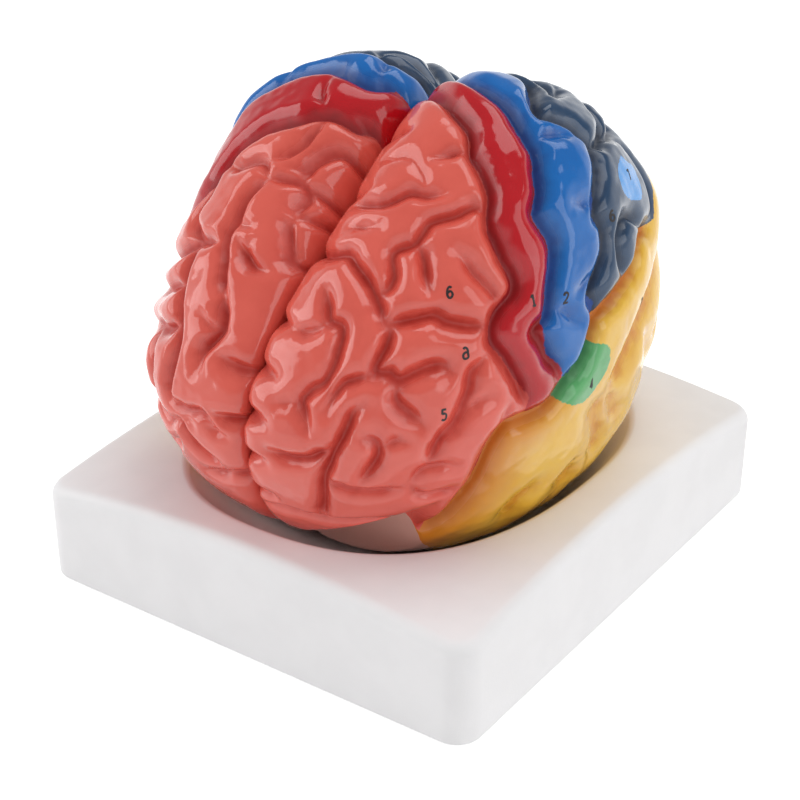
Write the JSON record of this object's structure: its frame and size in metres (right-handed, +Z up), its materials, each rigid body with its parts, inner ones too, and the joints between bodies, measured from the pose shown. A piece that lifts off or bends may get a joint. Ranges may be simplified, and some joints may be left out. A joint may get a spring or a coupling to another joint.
{
  "type": "brain anatomy model",
  "caption": "Life-like folded brain in a left and a right half, painted by region, resting in the oval recess of a shallow white stand.",
  "frame": {"origin": "centre of the part's footprint, on the table under the stand", "axes": "+Z up; the frontal poles point to -Y; the left hemisphere is on the +X side"},
  "size_m": [0.152, 0.1726, 0.1514],
  "materials": {
    "stand": "satin white moulding",
    "painted_casting": "cast plastic, painted by region under a gloss varnish"
  },
  "bodies": {
    "root": {"stand": "stand", "left_hemisphere": "painted_casting", "right_hemisphere": "painted_casting"}
  },
  "joints": []
}
